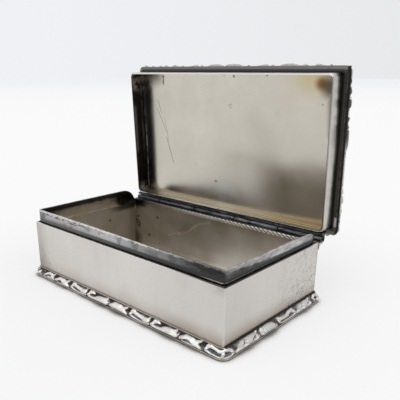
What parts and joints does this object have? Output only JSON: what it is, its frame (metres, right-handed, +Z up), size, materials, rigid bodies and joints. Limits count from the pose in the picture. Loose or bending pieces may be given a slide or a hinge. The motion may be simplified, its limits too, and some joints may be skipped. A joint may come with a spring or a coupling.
{
  "type": "trinket box",
  "caption": "Small rectangular silver box with a full-length hinged lid, a raised inner bezel and cast scroll borders, shown open.",
  "frame": {"origin": "centre of the base plate's underside", "axes": "+Z up, +X along the box, -Y the front; the hinge runs along X at the back, on the +Y side"},
  "size_m": [0.0946, 0.0636, 0.0762],
  "materials": {
    "base_plate": "satin old silver with light scratches and tarnish",
    "body_wall_front": "satin old silver with light scratches and tarnish",
    "body_wall_right": "satin old silver with light scratches and tarnish",
    "body_wall_back": "satin old silver with light scratches and tarnish",
    "body_wall_left": "satin old silver with light scratches and tarnish",
    "bezel": "satin old silver with light scratches and tarnish",
    "body_bearer": "dark tarnished silver",
    "body_knuckle_1": "dark tarnished silver",
    "body_knuckle_3": "dark tarnished silver",
    "body_knuckle_5": "dark tarnished silver",
    "hinge_pin": "dark tarnished silver",
    "base_border_front": "cast silver, bright on top and dark in its hollows",
    "base_border_right": "cast silver, bright on top and dark in its hollows",
    "base_border_back": "cast silver, bright on top and dark in its hollows",
    "base_border_left": "cast silver, bright on top and dark in its hollows",
    "base_border_front_right": "cast silver, bright on top and dark in its hollows",
    "base_border_back_right": "cast silver, bright on top and dark in its hollows",
    "base_border_back_left": "cast silver, bright on top and dark in its hollows",
    "base_border_front_left": "cast silver, bright on top and dark in its hollows",
    "lid_plate": "satin old silver with light scratches and tarnish",
    "lid_wall_front": "satin old silver with light scratches and tarnish",
    "lid_wall_right": "satin old silver with light scratches and tarnish",
    "lid_wall_back": "satin old silver with light scratches and tarnish",
    "lid_wall_left": "satin old silver with light scratches and tarnish",
    "lid_bearer": "dark tarnished silver",
    "lid_knuckle_2": "dark tarnished silver",
    "lid_knuckle_4": "dark tarnished silver",
    "lid_border_front": "cast silver, bright on top and dark in its hollows",
    "lid_border_right": "cast silver, bright on top and dark in its hollows",
    "lid_border_back": "cast silver, bright on top and dark in its hollows",
    "lid_border_left": "cast silver, bright on top and dark in its hollows",
    "lid_border_front_right": "cast silver, bright on top and dark in its hollows",
    "lid_border_back_right": "cast silver, bright on top and dark in its hollows",
    "lid_border_back_left": "cast silver, bright on top and dark in its hollows",
    "lid_border_front_left": "cast silver, bright on top and dark in its hollows"
  },
  "bodies": {
    "body": {"base_plate": "base_plate", "body_wall_front": "body_wall_front", "body_wall_right": "body_wall_right", "body_wall_back": "body_wall_back", "body_wall_left": "body_wall_left", "bezel": "bezel", "body_bearer": "body_bearer", "body_knuckle_1": "body_knuckle_1", "body_knuckle_3": "body_knuckle_3", "body_knuckle_5": "body_knuckle_5", "hinge_pin": "hinge_pin", "base_border_front": "base_border_front", "base_border_right": "base_border_right", "base_border_back": "base_border_back", "base_border_left": "base_border_left", "base_border_front_right": "base_border_front_right", "base_border_back_right": "base_border_back_right", "base_border_back_left": "base_border_back_left", "base_border_front_left": "base_border_front_left"},
    "lid": {"lid_plate": "lid_plate", "lid_wall_front": "lid_wall_front", "lid_wall_right": "lid_wall_right", "lid_wall_back": "lid_wall_back", "lid_wall_left": "lid_wall_left", "lid_bearer": "lid_bearer", "lid_knuckle_2": "lid_knuckle_2", "lid_knuckle_4": "lid_knuckle_4", "lid_border_front": "lid_border_front", "lid_border_right": "lid_border_right", "lid_border_back": "lid_border_back", "lid_border_left": "lid_border_left", "lid_border_front_right": "lid_border_front_right", "lid_border_back_right": "lid_border_back_right", "lid_border_back_left": "lid_border_back_left", "lid_border_front_left": "lid_border_front_left"}
  },
  "joints": [
    {"name": "lid_hinge", "type": "hinge", "parent": "body", "child": "lid", "pos_m": [0, 0.0272, 0.02135], "axis": [1, 0, 0], "range_deg": [0, 87.3]}
  ]
}
